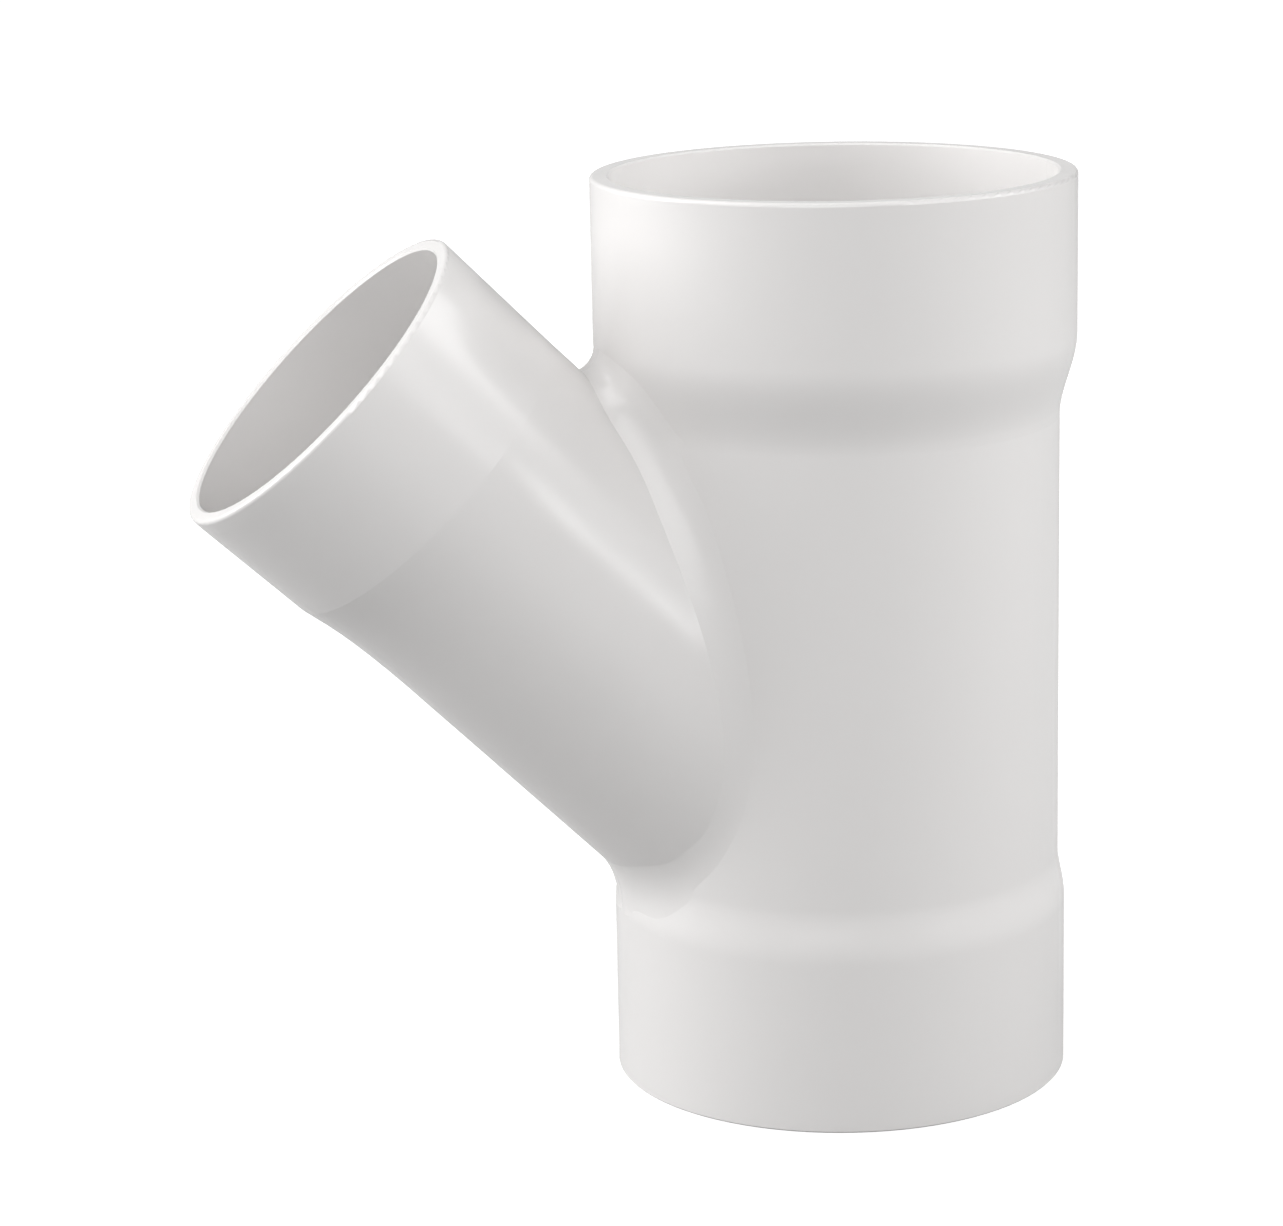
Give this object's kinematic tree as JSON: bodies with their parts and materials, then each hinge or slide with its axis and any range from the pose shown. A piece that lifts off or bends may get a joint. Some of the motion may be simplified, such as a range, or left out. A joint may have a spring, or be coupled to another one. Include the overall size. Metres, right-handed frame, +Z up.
{
  "type": "lateral wye pipe fitting",
  "caption": "White moulded plastic 45 degree reducing wye: a straight socketed run with a smaller socketed branch leaning up from its side.",
  "frame": {"origin": "centre of the run's lower mouth, in the plane of its flat end", "axes": "+Z up along the run's axis, -X towards the side that the branch leans to, Y across the plane of the two axes"},
  "size_m": [0.2206, 0.1194, 0.2283],
  "materials": {
    "pvc": "smooth glossy white moulded plastic"
  },
  "bodies": {
    "root": {"wye_body": "pvc"}
  },
  "joints": []
}
